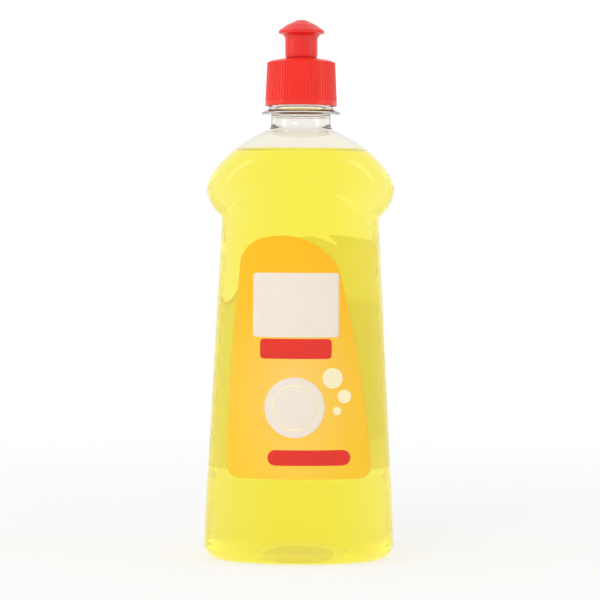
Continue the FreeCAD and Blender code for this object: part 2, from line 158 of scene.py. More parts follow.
class LabelSizes(bpy.types.PropertyGroup):
    """Outline of the label film, and the plates printed on it."""
    film: length("Film", "Thickness of the label", 0.12)
    gap: length("Gap", "Clear strip between the step and the label", 1.0)
    foot_width: length("Foot width", "Width of the label at its foot", 59.4)
    length: length("Length", "Height of the label", 99.2)
    corner: length("Corner", "Rounding at the foot", 5.0)
    left_lean: length("Left lean", "How far the left edge leans in", 4.9)
    right_lean: length("Right lean", "How far the right edge leans in", 14.0)
    shoulder: length("Shoulder", "Height of the ends of the long edges", 85.6)
    print_lift: length("Print lift", "Thickness of the print", 0.02)
    plate_width: length("Plate width", "Width of the cream plate", 35.2)
    plate_height: length("Plate height", "Height of the cream plate", 26.3)
    plate_middle: length("Plate middle", "Height of its middle", 106.9)
    strip_width: length("Strip width", "Width of the red strip", 29.4)
    strip_height: length("Strip height", "Height of the red strip", 8.2)
    strip_middle: length("Strip middle", "Height of its middle", 89.0)
    plate_across: length("Plate across", "Middle of plate and strip, from the axis", -1.6)
    dish_across: length("Dish across", "Middle of the dish, from the axis", -2.0)
    dish_middle: length("Dish middle", "Height of its middle", 65.0)
    dish_radius: length("Dish radius", "Outside of the dish", 12.4)
    dish_rim: length("Dish rim", "Width of its rim", 3.0)
    dish_groove: length("Dish groove", "Width of the pale line inside the rim", 0.6)
    foot_plate_across: length("Foot plate across", "Middle of the red foot plate", 4.0)
    foot_plate_middle: length("Foot plate middle", "Height of its middle", 44.4)
    foot_plate_width: length("Foot plate width", "Width of it", 34.0)
    foot_plate_height: length("Foot plate height", "Height of it", 6.4)
    back_plate_middle: length("Back plate middle", "Height of the back plate's middle", 78.0)
    back_plate_height: length("Back plate height", "Height of it", 60.0)
    back_plate_margin: length("Back plate margin", "Gold left of and right of it", 2.5)


class Finishes(bpy.types.PropertyGroup):
    """Colours of the bottle's finishes."""
    # The shell colour is partly the plastic's own faint tint and partly painted reflection: its
    # cream and dimness stand in for the yellow soap and red cap mirrored in the neck and
    # headspace.
    shell: colour("Shell", "Clear blown plastic", 251, 248.8, 244.5)
    soap: colour("Soap", "Colour left in light that has crossed much soap", 253.6, 249.0, 30)
    soap_density: share("Soap density", "Absorption for each metre of soap", 54.0)
    cap: colour("Cap", "Moulded cap", 240, 38, 20)
    nozzle: colour("Nozzle", "Moulded nozzle", 232, 36, 30)
    gold: colour("Gold", "Deep ground of the label", 250, 184, 14)
    gold_light: colour("Light gold", "Light ground of the label", 251, 202, 50)
    cream: colour("Cream", "Cream print", 238, 226, 212)
    dots: colour("Dots", "Halftone dots", 247, 226, 170)
    red: colour("Red", "Red print", 226, 52, 40)
    pale: colour("Pale", "Pale print", 250, 236, 196)
    reverse: colour("Reverse", "Glued side of the label", 254, 248, 150)
    floor: colour("Floor", "Floor and backdrop", 250, 250, 250)


# Forms of the body

def oval_arcs(half_width, half_depth, join_lean):
    """Side radius, broad radius and the point where they meet, of a four-arc oval."""
    lean = math.radians(join_lean) * half_depth / half_width
    spread = (half_width - half_depth) / (math.sin(lean) + math.cos(lean) - 1)
    side = half_depth - spread * (1 - math.cos(lean))
    broad = side + spread
    join_x = broad * math.sin(lean)
    join_y = half_depth - broad * (1 - math.cos(lean))
    return side, broad, join_x, join_y


def oval_radius(angle, half_width, half_depth, join_lean):
    """Distance from the axis to the oval, in the direction of the angle from +X."""
    side, broad, join_x, join_y = oval_arcs(half_width, half_depth, join_lean)
    across, along = abs(math.cos(angle)), abs(math.sin(angle))
    if along * join_x <= across * join_y:
        centre = half_width - side
        return centre * across + math.sqrt(side ** 2 - (centre * along) ** 2)
    centre = half_depth - broad
    return centre * along + math.sqrt(broad ** 2 - (centre * across) ** 2)


def between(low, high, part):
    """The value that lies a share of the way from low to high."""
    return low + (high - low) * part


def smooth_part(value, low, high):
    """How far a value is from low to high, 0 to 1, easing in and out."""
    part = min(max((value - low) / (high - low), 0), 1)
    return part * part * (3 - 2 * part)


def lower_halves(sizes, height):
    """Half width and half depth of the band, step and panel at a height."""
    foot = sizes.band_height + sizes.recess_rise
    if height <= sizes.band_height:
        part = height / sizes.band_height
        return (between(sizes.base_width, sizes.band_width, part) / 2,
                between(sizes.base_depth, sizes.band_depth, part) / 2)
    part = (height - foot) / (sizes.panel_top_height - foot)
    panel = (between(sizes.panel_foot_width, sizes.panel_top_width, part) / 2,
             between(sizes.panel_foot_depth, sizes.panel_top_depth, part) / 2)
    if height >= foot:
        return panel
    step = smooth_part(height, sizes.band_height, foot)
    return (between(sizes.band_width / 2, panel[0], step),
            between(sizes.band_depth / 2, panel[1], step))


def underside(root, widest, root_height, widest_height, height):
    """Half the size of the bulge below its widest place, on a parabola."""
    part = (widest_height - height) / (widest_height - root_height)
    return widest - (widest - root) * part ** 2


def shoulder(sizes, widest, widest_height, height):
    """Half the size of the bulge above its widest place, on a flattened dome."""
    power = sizes.shoulder_power
    neck = sizes.neck_diameter / 2
    rise = sizes.shoulder_height - widest_height
    full = rise / (1 - (neck / widest) ** power) ** (1 / power)
    return widest * (1 - ((height - widest_height) / full) ** power) ** (1 / power)


def bulge_halves(sizes, height):
    """Half width and half depth of the mushroom-shaped top at a height."""
    halves = []
    for root, widest, widest_height in (
            (sizes.bulge_root_width, sizes.bulge_width, sizes.bulge_height),
            (sizes.bulge_root_depth, sizes.crown_depth, sizes.crown_height)):
        if height < widest_height:
            halves.append(underside(root / 2, widest / 2, sizes.bulge_root_height,
                                    widest_height, height))
        else:
            halves.append(shoulder(sizes, widest / 2, widest_height, height))
    return halves


def body_radius(sizes, angle, height, inset):
    """Radius of the blown skin: panel and bulge, joined with an eased crease."""
    lower = bulge = 0
    lean = sizes.join_lean
    if height < sizes.panel_top_height:
        half_width, half_depth = lower_halves(sizes, height)
        lower = oval_radius(angle, half_width, half_depth, lean)
    if height > sizes.bulge_root_height:
        half_width, half_depth = bulge_halves(sizes, height)
        bulge = oval_radius(angle, half_width, half_depth, lean)
    if lower and bulge:
        ease = sizes.crease_width * (1 - smooth_part(
            height, sizes.panel_top_height - 4 * MM, sizes.panel_top_height))
        if ease > 0:
            part = min(max(0.5 + 0.5 * (bulge - lower) / ease, 0), 1)
            return between(lower, bulge, part) + ease * part * (1 - part) - inset
    return max(lower, bulge) - inset


def arc_through(start, middle, end, steps):
    """Points along the circular arc through three points of a plane."""
    ax, ay = start
    bx, by = middle
    cx, cy = end
    twice = 2 * (ax * (by - cy) + bx * (cy - ay) + cx * (ay - by))
    a2, b2, c2 = ax * ax + ay * ay, bx * bx + by * by, cx * cx + cy * cy
    ux = (a2 * (by - cy) + b2 * (cy - ay) + c2 * (ay - by)) / twice
    uy = (a2 * (cx - bx) + b2 * (ax - cx) + c2 * (bx - ax)) / twice
    radius = math.hypot(ax - ux, ay - uy)
    first = math.atan2(ay - uy, ax - ux)
    half_way = (math.atan2(by - uy, bx - ux) - first) % TURN
    sweep = (math.atan2(cy - uy, cx - ux) - first) % TURN
    if half_way > sweep:
        sweep -= TURN
    return [(ux + radius * math.cos(first + sweep * step / steps),
             uy + radius * math.sin(first + sweep * step / steps)) for step in range(steps)]


def relief_outline(sizes):
    """The swoosh, seen from the front: a disc with a tail that widens to the side."""
    centre, radius, reach = sizes.relief_height, sizes.relief_radius, sizes.relief_reach

    def place(across, up):
        return (across, centre + up)

    left = place(-radius, 0)
    crown = place(0, radius * 0.94)
    shoulder_end = place(reach * 0.85, -radius * 0.5)
    tail_end = place(reach, -radius * 3.9)
    chin = place(-radius * 0.44, -radius * 0.97)
    return (arc_through(left, place(-radius * 0.72, radius * 0.67), crown, 10)
            + arc_through(crown, place(reach * 0.5, radius * 0.44), shoulder_end, 16)
            + arc_through(shoulder_end, place(reach * 1.03, -radius * 2.1), tail_end, 12)
            + arc_through(tail_end, place(reach * 0.41, -radius * 1.72), chin, 20)
            + arc_through(chin, place(-radius * 0.84, -radius * 0.62), left, 8))


def inside_distance(outline, x, z):
    """Distance to the outline, positive inside it and negative outside."""
    nearest = 1.0
    inside = False
    count = len(outline)
    for index in range(count):
        x0, z0 = outline[index]
        x1, z1 = outline[(index + 1) % count]
        run_x, run_z = x1 - x0, z1 - z0
        along = ((x - x0) * run_x + (z - z0) * run_z) / (run_x ** 2 + run_z ** 2)
        along = min(max(along, 0), 1)
        nearest = min(nearest, math.hypot(x - x0 - along * run_x, z - z0 - along * run_z))
        if (z0 > z) != (z1 > z) and x < x0 + (z - z0) / (z1 - z0) * run_x:
            inside = not inside
    return nearest if inside else -nearest


class Skin:
    """The blown body as rings of points, for any inset from its outer surface."""

    def __init__(self, sizes, count):
        self.sizes = sizes
        self.angles = self.even_angles(count)
        self.outline = relief_outline(sizes)
        ups = [z for x, z in self.outline]
        self.relief_low = min(ups) - sizes.relief_slope
        self.relief_high = max(ups) + sizes.relief_slope

    def even_angles(self, count):
        """Angles that share out the base oval in steps of one length."""
        fine = 4096
        half_width, half_depth = self.sizes.base_width / 2, self.sizes.base_depth / 2
        points = []
        for index in range(fine + 1):
            angle = TURN * index / fine
            radius = oval_radius(angle, half_width, half_depth, self.sizes.join_lean)
            points.append((radius * math.cos(angle), radius * math.sin(angle)))
        runs = [0]
        for index in range(fine):
            runs.append(runs[-1] + math.dist(points[index], points[index + 1]))
        angles = []
        reached = 0
        for index in range(count):
            goal = runs[-1] * index / count
            while runs[reached + 1] < goal:
                reached += 1
            angles.append(TURN * reached / fine)
        return angles

    def relief(self, x, y, z):
        """How far the swoosh lifts the skin here: the back repeats the front turned round."""
        if not self.relief_low < z < self.relief_high:
            return 0
        across = x if y < 0 else -x
        depth = inside_distance(self.outline, across, z)
        slope = self.sizes.relief_slope
        return self.sizes.relief_rise * smooth_part(depth, -slope / 2, slope / 2)

    def ring(self, height, inset, shrink=0):
        """The body's outline at a height, relief included."""
        points = []
        for angle in self.angles:
            radius = body_radius(self.sizes, angle, height, inset + shrink)
            x, y = radius * math.cos(angle), radius * math.sin(angle)
            radius += self.relief(x, y, height)
            points.append(Vector((radius * math.cos(angle), radius * math.sin(angle), height)))
        return points

    def round_ring(self, radius, height):
        return [Vector((radius * math.cos(angle), radius * math.sin(angle), height))
                for angle in self.angles]

    def base_height(self, x, y, inset):
        """Height of the underside: flat, with a dome pressed up in the middle."""
        sizes = self.sizes
        out = math.hypot(x / (sizes.pushup_width / 2), y / (sizes.pushup_depth / 2))
        if out >= 1:
            return inset
        return inset + sizes.pushup_height * (1 - out ** 2.6) ** 0.8

    def base_rings(self, inset):
        """Rings from the middle of the base out to the foot of the heel."""
        sizes = self.sizes
        stops = [0.06 * step for step in range(1, 10)] + [
            0.58, 0.61, 0.64, 0.67, 0.7, 0.73, 0.78, 0.86, 0.94, 1.0]
        foot = self.ring(inset, inset, sizes.heel_radius - inset)
        rings = []
        for stop in stops:
            ring = []
            for point in foot:
                x, y = point.x * stop, point.y * stop
                ring.append(Vector((x, y, self.base_height(x, y, inset))))
            rings.append(ring)
        return rings

    def body_rings(self, inset, relief_step, top):
        """Rings from the heel up the body to the given height."""
        sizes = self.sizes
        radius = sizes.heel_radius - inset
        rings = []
        for step in range(1, 9):
            turn = math.pi / 2 * step / 8
            rings.append(self.ring(inset + radius * (1 - math.cos(turn)), inset,
                                   radius * (1 - math.sin(turn))))
        foot = sizes.band_height + sizes.recess_rise
        heights = spread_heights((
            (sizes.heel_radius + 2 * MM, 5 * MM),
            (sizes.band_height - 1 * MM, 0.7 * MM),
            (foot + 0.5 * MM, 5 * MM),
            (self.relief_low, relief_step),
            (sizes.panel_top_height, 1.3 * MM),
            (min(sizes.shoulder_height - 6 * MM, top - 1 * MM), 0.5 * MM),
            (top, 1)))
        rings += [self.ring(height, inset) for height in heights]
        return rings


def spread_heights(marks):
    """Heights from mark to mark, evenly spaced by at most the step that each mark names."""
    heights = []
    for (low, step), (high, _) in zip(marks, marks[1:]):
        count = max(1, math.ceil((high - low) / step))
        heights += [between(low, high, index / count) for index in range(count)]
    return heights + [marks[-1][0]]


# Meshes

def mesh_object(name, vertices, faces, body):
    """A smooth-shaded mesh piece that rides on a body."""
    mesh = bpy.data.meshes.new(name)
    mesh.from_pydata([tuple(vertex) for vertex in vertices], [], faces)
    mesh.validate()
    build = bmesh.new()
    build.from_mesh(mesh)
    bmesh.ops.recalc_face_normals(build, faces=build.faces)
    build.to_mesh(mesh)
    build.free()
    mesh.polygons.foreach_set("use_smooth", [True] * len(mesh.polygons))
    piece = bpy.data.objects.new(name, mesh)
    bpy.context.scene.collection.objects.link(piece)
    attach(piece, body)
    return piece


def ring_solid(name, rings, body, first, last):
    """A closed surface through rings of points, shut by a point at each end."""
    count = len(rings[0])
    vertices = [point for ring in rings for point in ring]
    faces = []
    for level in range(len(rings) - 1):
        low, high = level * count, (level + 1) * count
        for index in range(count):
            after = (index + 1) % count
            faces.append((low + index, low + after, high + after, high + index))
    for centre, start in ((first, 0), (last, (len(rings) - 1) * count)):
        vertices.append(centre)
        hub = len(vertices) - 1
        for index in range(count):
            faces.append((start + index, start + (index + 1) % count, hub))
    return mesh_object(name, vertices, faces, body)


def outline_span(outline, height):
    """Left and right end of a plane outline at a height."""
    cuts = []
    count = len(outline)
    for index in range(count):
        x0, z0 = outline[index]
        x1, z1 = outline[(index + 1) % count]
        if (z0 - height) * (z1 - height) <= 0 and z0 != z1:
            cuts.append(x0 + (height - z0) / (z1 - z0) * (x1 - x0))
    return min(cuts), max(cuts)


def panel_depth(sizes, x, height, lift):
    """How far forward the panel's face is, at a place across and a height."""
    half_width, half_depth = lower_halves(sizes, height)
    half_width, half_depth = half_width + lift, half_depth + lift
    side, broad, join_x, _ = oval_arcs(half_width, half_depth, sizes.join_lean)
    if abs(x) <= join_x:
        return half_depth - broad + math.sqrt(broad ** 2 - x ** 2)
    return math.sqrt(max(side ** 2 - (abs(x) - (half_width - side)) ** 2, 0))


def wrapped_sheet(name, sizes, outline, low_lift, high_lift, facing, body, rows, columns):
    """A thin closed sheet of the given outline, laid on the panel. Facing -1 is the front."""
    ups = [z for x, z in outline]
    bottom, top = min(ups), max(ups)
    margin = (top - bottom) * 1e-4
    levels = []
    for row in range(rows + 1):
        part = 0.5 - 0.5 * math.cos(math.pi * row / rows)
        levels.append(between(bottom + margin, top - margin, part))
    vertices = []
    for lift in (high_lift, low_lift):
        for level in levels:
            left, right = outline_span(outline, level)
            for column in range(columns + 1):
                x = between(left, right, column / columns)
                y = -panel_depth(sizes, x, level, lift)
                vertices.append(Vector((-facing * x, -facing * y, level)))
    width = columns + 1
    layer = width * (rows + 1)
    faces = []
    reverse = []
    for row in range(rows):
        for column in range(columns):
            corner = row * width + column
            quad = (corner, corner + 1, corner + width + 1, corner + width)
            faces.append(quad)
            reverse.append(tuple(layer + index for index in reversed(quad)))
    rim = ([(0, column) for column in range(columns)]
           + [(row, columns) for row in range(rows)]
           + [(rows, column) for column in range(columns, 0, -1)]
           + [(row, 0) for row in range(rows, 0, -1)])
    edge = []
    for index, (row, column) in enumerate(rim):
        next_row, next_column = rim[(index + 1) % len(rim)]
        here, there = row * width + column, next_row * width + next_column
        edge.append((here, there, layer + there, layer + here))
    piece = mesh_object(name, vertices, faces + reverse + edge, body)
    piece["reverse_from"] = len(faces)
    piece["reverse_to"] = len(faces) + len(reverse)
    return piece


# Materials. A pair is a node and the name or number of one of its outputs.

def opaque(tint):
    return (*tint, 1)


class Shader:
    """A node material under construction."""

    def __init__(self, name):
        self.material = bpy.data.materials.new(name)
        self.material.use_nodes = True
        self.tree = self.material.node_tree
        self.tree.nodes.clear()
        self.output = self.node("ShaderNodeOutputMaterial")
        self.surface = self.node("ShaderNodeBsdfPrincipled")
        self.plain = (self.surface, "BSDF")
        self.show(self.plain)

    def node(self, kind, feeds=None, **values):
        """A new node with its settings, its inputs fed by name or number."""
        made = self.tree.nodes.new(kind)
        for key, value in values.items():
            setattr(made, key, value)
        for socket, value in (feeds or {}).items():
            self.feed(made, socket, value)
        return made

    def feed(self, target, socket, value):
        """Links a pair to an input, or gives the input a plain value."""
        if isinstance(value, tuple) and isinstance(value[0], bpy.types.Node):
            source, out = value
            self.tree.links.new(source.outputs[out], target.inputs[socket])
        else:
            target.inputs[socket].default_value = value

    def show(self, pair, socket="Surface"):
        self.feed(self.output, socket, pair)

    def set(self, **values):
        """Feeds the Principled surface. A low line in a name stands for a space."""
        for key, value in values.items():
            self.feed(self.surface, key.replace("_", " "), value)

    def place(self):
        return self.node("ShaderNodeTexCoord"), "Object"

    def axes(self):
        """The object's X, Y and Z as three pairs."""
        split = self.node("ShaderNodeSeparateXYZ", {"Vector": self.place()})
        return [(split, axis) for axis in "XYZ"]

    def noise(self, scale, detail=3):
        return self.node("ShaderNodeTexNoise", {
            "Vector": self.place(), "Scale": scale, "Detail": detail}), "Fac"

    def grain(self, scale, detail, distance, strength):
        """Fine unevenness of the surface itself."""
        bump = self.node("ShaderNodeBump", {
            "Height": self.noise(scale, detail), "Distance": distance, "Strength": strength})
        self.set(Normal=(bump, "Normal"))

    def ramp(self, part, stops):
        """A colour ramp with two stops of (position, colour)."""
        made = self.node("ShaderNodeValToRGB", {"Fac": part})
        for element, (position, tint) in zip(made.color_ramp.elements, stops):
            element.position = position
            element.color = opaque(tint)
        return made, "Color"

    def tone(self, base, amount, scale):
        """The base colour with a slight uneven shade in it."""
        dark = tuple(channel * (1 - amount) for channel in base)
        light = tuple(min(channel * (1 + amount), 1) for channel in base)
        return self.ramp(self.noise(scale), ((0.3, dark), (0.7, light)))

    def math(self, operation, *values):
        """A math node fed by numbers and pairs."""
        return self.node("ShaderNodeMath", dict(enumerate(values)), operation=operation), "Value"

    def vector_math(self, operation, *values):
        return self.node("ShaderNodeVectorMath", dict(enumerate(values)), operation=operation)

    def mix(self, part, first, second):
        """Two colours, as values or pairs, mixed by a pair."""
        return self.node("ShaderNodeMix", {0: part, 6: first, 7: second}, data_type="RGBA"), 2

    def blend(self, part, first, second):
        """Two surfaces, as pairs, mixed by a number or a pair."""
        return self.node("ShaderNodeMixShader", {"Fac": part, 1: first, 2: second}), "Shader"

    def clear(self, tint):
        """A surface that light passes straight, tinted by a colour or a pair."""
        return self.node("ShaderNodeBsdfTransparent", {"Color": tint}), "BSDF"


def light_through(shader, ease, painted_edge_shade):
    """Lets lamp light pass a clear piece straight, rays past their fourth turn too.

    Ease is the share of rays that already leave straight at the far wall, and the last
    colour is the one that the straight ones keep: painted shade that stands in for the
    darkening along the clear wall's edges and neck."""
    path = shader.node("ShaderNodeLightPath")
    shadow = (path, "Is Shadow Ray")
    at_far_wall = shader.math("GREATER_THAN", (path, "Ray Depth"), 2.5)
    far_gone = shader.math("GREATER_THAN", (path, "Ray Depth"), 4.5)
    eased = shader.math("MAXIMUM", shader.math("MULTIPLY", at_far_wall, ease), far_gone)
    straight = shader.math("MAXIMUM", shadow, eased)
    # Straight rays that are not shadow rays take on the painted edge shade.
    tint = shader.mix(shadow, opaque(painted_edge_shade), (0.4, 0.4, 0.4, 1))
    shader.show(shader.blend(straight, shader.plain, shader.clear(tint)))


def shell_finish(name, base, bending, ease, painted_edge_shade):
    """Clear blown plastic: glossy, with the faint waviness of a blown wall, and painted shade in
    the colour that straight rays keep.
    """
    shader = Shader(name)
    shader.set(Base_Color=shader.tone(base, 0.003, 40), Roughness=0.02, IOR=bending,
               Transmission_Weight=1.0)
    shader.grain(55, 2, 0.25 * MM, 0.2)
    light_through(shader, ease, painted_edge_shade)
    return shader.material


def clear_finish(name, base, amount, scale):
    """A face that bends nothing and only tints the light that passes it."""
    shader = Shader(name)
    shader.show(shader.clear(shader.tone(base, amount, scale)))
    return shader.material


def soap_finish(finishes, level):
    """Clear yellow soap, coloured by its depth, that bends light only at its free top."""
    shader = Shader("yellow_soap")
    shader.set(Base_Color=shader.tone((1.0, 1.0, 0.98), 0.004, 30), Roughness=0.0, IOR=1.37,
               Transmission_Weight=1.0)
    depth = shader.node("ShaderNodeVolumeAbsorption", {
        "Color": opaque(finishes.soap), "Density": finishes.soap_density})
    shader.show((depth, "Volume"), "Volume")
    free = shader.math("GREATER_THAN", shader.axes()[2], level - 0.02 * MM)
    wetted = shader.node("ShaderNodeBsdfRefraction", {"IOR": 1.0, "Roughness": 0.0})
    side = shader.blend(free, (wetted, "BSDF"), shader.plain)
    path = shader.node("ShaderNodeLightPath")
    tinted = shader.clear((0.98, 0.96, 0.85, 1))
    shader.show(shader.blend((path, "Is Shadow Ray"), side, tinted))
    return shader.material


def moulded_finish(name, base, roughness):
    """Coloured moulded plastic with a fine grain and slightly cloudy tone."""
    shader = Shader(name)
    shader.set(Base_Color=shader.tone(base, 0.04, 90), Roughness=roughness, IOR=1.49,
               Subsurface_Weight=0.12, Subsurface_Scale=1.2 * MM,
               Subsurface_Radius=(1.0, 0.25, 0.15))
    shader.grain(1500, 4, 0.04 * MM, 0.3)
    return shader.material


def gold_finish(finishes):
    """Gold ground, paler to the foot, with staggered dots that fade out round the dish."""
    shader = Shader("gold_print")
    across, _, up = shader.axes()
    turns = TURN / DOT_PITCH
    first = shader.math("SINE", shader.math("MULTIPLY", across, turns))
    second = shader.math("SINE", shader.math("MULTIPLY", up, turns))
    screen = shader.math("MULTIPLY", first, second)
    away = shader.vector_math("SUBTRACT", shader.place(), GLOW_MIDDLE)
    reach = shader.vector_math("MULTIPLY", (away, "Vector"), GLOW_SCALE)
    far = shader.vector_math("LENGTH", (reach, "Vector"))
    cut = shader.math("MULTIPLY", (far, "Value"), 0.95)
    over = shader.math("MAXIMUM", shader.math("SUBTRACT", screen, cut), 0.0)
    dots = shader.math("MINIMUM", shader.math("MULTIPLY", over, 5.0), 0.85)
    ground = shader.ramp(shader.math("MULTIPLY_ADD", up, 8.0, -0.2),
                         ((0.0, finishes.gold_light), (1.0, finishes.gold)))
    shader.set(Base_Color=shader.mix(dots, ground, opaque(finishes.dots)), Roughness=0.32,
               IOR=1.45, Specular_IOR_Level=0.3)
    shader.grain(900, 3, 0.02 * MM, 0.3)
    film_glow(shader, 0.0)
    return shader.material


def print_finish(name, base, amount=0.015, glow=0.0):
    """Flat print on film: an even colour with slight ink mottle."""
    shader = Shader(name)
    shader.set(Base_Color=shader.tone(base, amount, 160), Roughness=0.34, IOR=1.45,
               Specular_IOR_Level=0.3)
    shader.grain(1100, 3, 0.015 * MM, 0.3)
    film_glow(shader, glow)
    return shader.material


def film_glow(shader, amount):
    """The share of light from behind that a thin film lets through, and its clear inside."""
    behind = shader.node("ShaderNodeBsdfTranslucent", {"Color": (1.0, 0.98, 0.8, 1)})
    printed = shader.blend(amount, shader.plain, (behind, "BSDF"))
    side = shader.node("ShaderNodeNewGeometry")
    shader.show(shader.blend((side, "Backfacing"), printed, shader.clear((1, 1, 1, 1))))


def two_sided(sheet, outside, inside):
    """Puts one finish on a wrapped sheet and another on the side that lies on the panel."""
    sheet.data.materials.append(outside)
    sheet.data.materials.append(inside)
    for face in sheet.data.polygons[sheet["reverse_from"]:sheet["reverse_to"]]:
        face.material_index = 1


# Outlines on the label

def label_outline(body, label):
    """The label's edge seen from the front, as the solid film has it."""
    foot = body.band_height + body.recess_rise + label.gap
    side = label.foot_width / 2
    corner = label.corner
    top = foot + label.length
    shoulder_height = foot + label.shoulder
    left_top = -side + label.left_lean
    right_top = side - label.right_lean
    quarter = corner * (1 - math.sqrt(0.5))
    right_foot, left_foot = (side, foot + corner), (-side, foot + corner)
    left_shoulder = (left_top, shoulder_height)
    crown = (left_top + side * 0.42, top)
    right_shoulder = (right_top, shoulder_height + (top - shoulder_height) * 0.1)
    return (arc_through((side - corner, foot), (side - quarter, foot + quarter),
                        right_foot, 8)
            + arc_through(right_foot, (side - label.right_lean * 0.44,
                                       foot + label.shoulder * 0.6), right_shoulder, 24)
            + arc_through(right_shoulder, (side * 0.16, top - (top - shoulder_height) * 0.17),
                          crown, 16)
            + arc_through(crown, (left_top + side * 0.115, top - side * 0.13),
                          left_shoulder, 12)
            + arc_through(left_shoulder, (-side + label.left_lean * 0.32,
                                          foot + label.shoulder * 0.55), left_foot, 24)
            + arc_through(left_foot, (-side + quarter, foot + quarter),
                          (-side + corner, foot), 8)
            + [(-side + corner, foot)])


def rounded_plate(middle_x, middle_z, width, height, radius):
    """A rectangle with round corners, as points."""
    points = []
    for corner_x, corner_z, first in ((1, 1, 0), (-1, 1, 1), (-1, -1, 2), (1, -1, 3)):
        for step in range(7):
            turn = math.pi / 2 * (first + step / 6)
            points.append((
                middle_x + corner_x * (width / 2 - radius) + radius * math.cos(turn),
                middle_z + corner_z * (height / 2 - radius) + radius * math.sin(turn)))
    return points


def disc(middle_x, middle_z, radius):
    return [(middle_x + radius * math.cos(TURN * step / 48),
             middle_z + radius * math.sin(TURN * step / 48)) for step in range(48)]


# Operators

class SOAPBOTTLE_OT_shell(bpy.types.Operator):
    """Makes the clear blown shell, with its neck, support ring and collar"""
    bl_idname = "soapbottle.shell"
    bl_label = "Make shell"

    def execute(self, context):
        sizes = context.scene.bottle_body
        finishes = context.scene.bottle_finishes
        skin = Skin(sizes, 240)
        outer = skin.base_rings(0)
        outer += skin.body_rings(0, 0.75 * MM, sizes.shoulder_height - 1.2 * MM)
        outer += [skin.round_ring(*place) for place in neck_profile(sizes)]
        inner = skin.base_rings(sizes.wall)
        inner += skin.body_rings(sizes.wall, 1.1 * MM, sizes.shoulder_height - 1.6 * MM)
        inner += [skin.round_ring(*place) for place in bore_profile(sizes)]
        first = Vector((0, 0, sizes.pushup_height))
        last = Vector((0, 0, sizes.pushup_height + sizes.wall))
        shell = ring_solid("blown_shell", outer + inner[::-1], "bottle",
                           first, last)
        # The last colour of each wall is painted shade that straight rays keep: dark beige on the
        # dry wall, darkening its edges and neck, and near white on the wet wall.
        over_soap = shell_finish("clear_blown_plastic", finishes.shell, 1.5, 0.0,
                                 (0.55, 0.5, 0.44))
        on_soap = shell_finish("clear_wall_on_soap", (0.998, 0.998, 0.996), 1.37, 0.65,
                               (0.99, 0.97, 0.9))
        wetted = clear_finish("wetted_inside", (0.998, 0.998, 0.998), 0.002, 40)
        for finish in (over_soap, on_soap, wetted):
            shell.data.materials.append(finish)
        outside = len(outer) * len(skin.angles)
        for face in shell.data.polygons:
            if max(shell.data.vertices[index].co.z for index in face.vertices) < sizes.fill_height:
                face.material_index = 2 if min(face.vertices) >= outside else 1
        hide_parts("bottle")
        return {"FINISHED"}


def bore_profile(sizes):
    """(radius, height) pairs up the inside of the neck."""
    foot = sizes.shoulder_height
    bore = sizes.bore_diameter / 2
    return [
        (sizes.neck_diameter / 2 - 1.0 * MM, foot),
        (bore + 0.2 * MM, foot + 1.5 * MM),
        (bore, foot + 3 * MM),
        (bore, sizes.finish_height - 0.6 * MM),
    ]


def neck_profile(sizes):
    """(radius, height) pairs up the outside of the neck, ring, collar and finish."""
    neck = sizes.neck_diameter / 2
    ring = sizes.ring_diameter / 2
    collar = sizes.collar_diameter / 2
    foot = sizes.shoulder_height
    under = sizes.ring_height
    root = under + sizes.ring_root
    soft = 0.15 * MM
    top = sizes.finish_height
    lip = root + sizes.collar_length
    return [
        (neck + 0.9 * MM, foot - 0.4 * MM),
        (neck + 0.4 * MM, foot + 0.3 * MM),
        (neck + 0.12 * MM, foot + 1.0 * MM),
        (neck, foot + 1.8 * MM),
        (neck, under - 3 * soft),
        (neck + 0.3 * soft, under - soft),
        (neck + soft, under),
        (neck + 4 * soft, under),
        (ring - 2 * soft, under),
        (ring - soft, under),
        (ring, under + soft),
        (ring, under + sizes.ring_edge - soft),
        (ring - soft, under + sizes.ring_edge),
        (ring - 4 * soft, under + sizes.ring_edge + soft),
        (collar + 4 * soft, root - soft),
        (collar + soft, root),
        (collar, root + 2 * soft),
        (collar, lip - 2 * soft),
        (collar - soft, lip),
        (neck + soft, lip + 0.5 * MM),
        (neck, lip + 0.7 * MM),
        (neck, top - 3 * soft),
        (neck - soft, top - soft),
        (neck - 3 * soft, top),
        (sizes.bore_diameter / 2 + 2 * soft, top),
    ]


class SOAPBOTTLE_OT_soap(bpy.types.Operator):
    """Makes the body of soap, which wets the wall up to its level"""
    bl_idname = "soapbottle.soap"
    bl_label = "Make soap"

    def execute(self, context):
        sizes = context.scene.bottle_body
        skin = Skin(sizes, 180)
        inset = sizes.wall * 0.6
        rings = skin.base_rings(inset)
        rings += skin.body_rings(inset, 1.2 * MM, sizes.fill_height + sizes.meniscus)
        for shrink, drop in MENISCUS:
            height = sizes.fill_height + sizes.meniscus * (1 - drop)
            ring = skin.ring(sizes.fill_height, sizes.wall, shrink * MM)
            rings.append([Vector((point.x, point.y, height)) for point in ring])
        flat = rings[-1]
        for part in (0.7, 0.35):
            rings.append([Vector((point.x * part, point.y * part, sizes.fill_height))
                          for point in flat])
        soap = ring_solid("soap", rings, "bottle",
                          Vector((0, 0, sizes.pushup_height + inset)),
                          Vector((0, 0, sizes.fill_height)))
        soap.data.materials.append(soap_finish(context.scene.bottle_finishes, sizes.fill_height))
        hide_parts("dish_soap")
        return {"FINISHED"}


